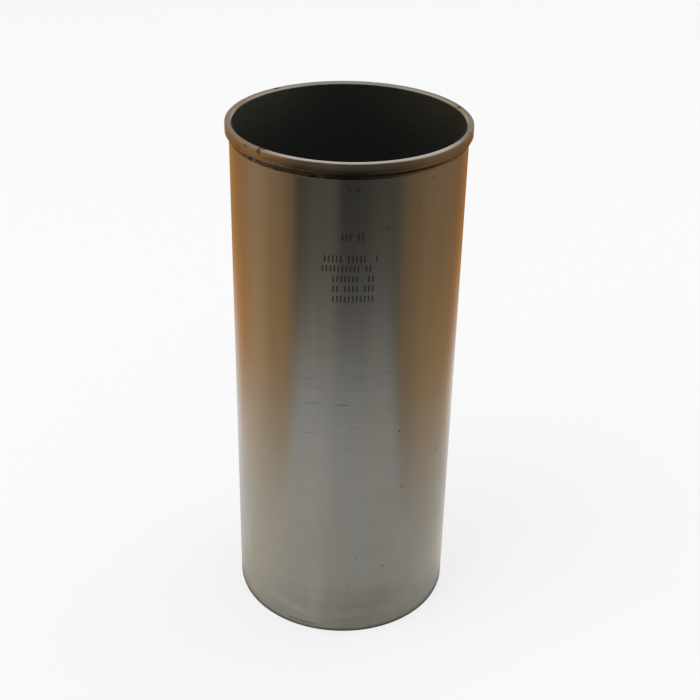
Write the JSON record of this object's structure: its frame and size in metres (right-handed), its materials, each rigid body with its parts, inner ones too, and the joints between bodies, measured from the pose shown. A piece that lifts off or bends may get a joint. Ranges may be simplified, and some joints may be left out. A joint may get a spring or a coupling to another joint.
{
  "type": "cylinder liner",
  "caption": "Thin-walled dry cylinder liner: an open straight sleeve with a narrow location flange at the top, a relief groove under it and a tapered lower end.",
  "frame": {"origin": "centre of the lower end face, on the bore's axis", "axes": "+Z along the bore's axis, from the lower end up to the flanged end; X and Y are free, because the liner is round"},
  "size_m": [0.0969, 0.0968, 0.22],
  "materials": {
    "liner_iron": "ground and turned bare iron, darker honed bore, light rust in the relief groove"
  },
  "bodies": {
    "root": {"cylinder_liner": "liner_iron"}
  },
  "joints": []
}
